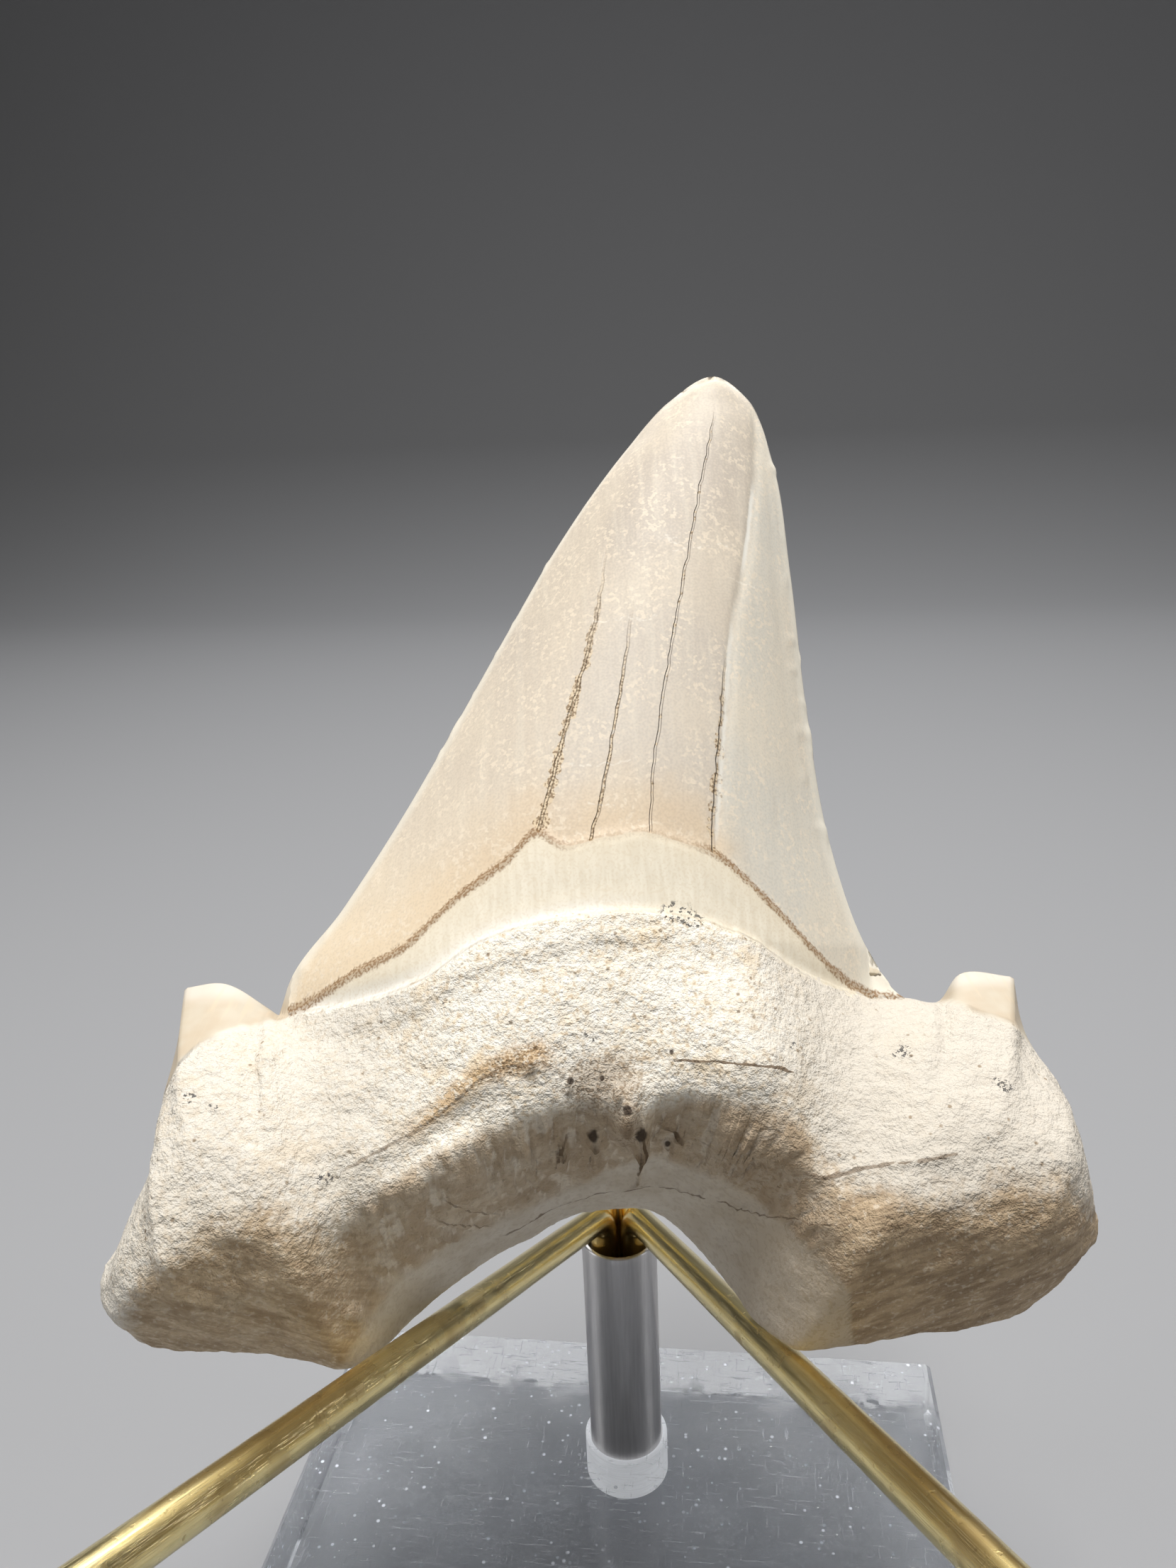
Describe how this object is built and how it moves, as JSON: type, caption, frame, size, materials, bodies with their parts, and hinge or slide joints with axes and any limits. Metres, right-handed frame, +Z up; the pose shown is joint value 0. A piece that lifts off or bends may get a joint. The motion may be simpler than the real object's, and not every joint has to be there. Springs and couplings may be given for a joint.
{
  "type": "fossil shark tooth on wire stand",
  "caption": "Fossil shark tooth with a tall pointed crown and a broad forked root, leaning back on bent brass arms in a metal tube over a square clear acrylic base.",
  "frame": {"origin": "centre of the underside of the acrylic base", "axes": "+Z up, -Y towards the viewer's side, where the front arms reach out; X and Y along the base's sides"},
  "size_m": [0.0594, 0.0675, 0.1005],
  "materials": {
    "fossil": "chalky porous root, satin enamel crown",
    "clear_acrylic": "clear, polished, lightly scuffed",
    "nickel_tube": "satin nickel plate",
    "brass_wire": "polished, scratched, with dark tarnish"
  },
  "bodies": {
    "root": {"tooth": "fossil", "acrylic_base": "clear_acrylic", "post_tube": "nickel_tube", "front_arm_left": "brass_wire", "front_arm_right": "brass_wire", "rear_arm": "brass_wire"}
  },
  "joints": []
}
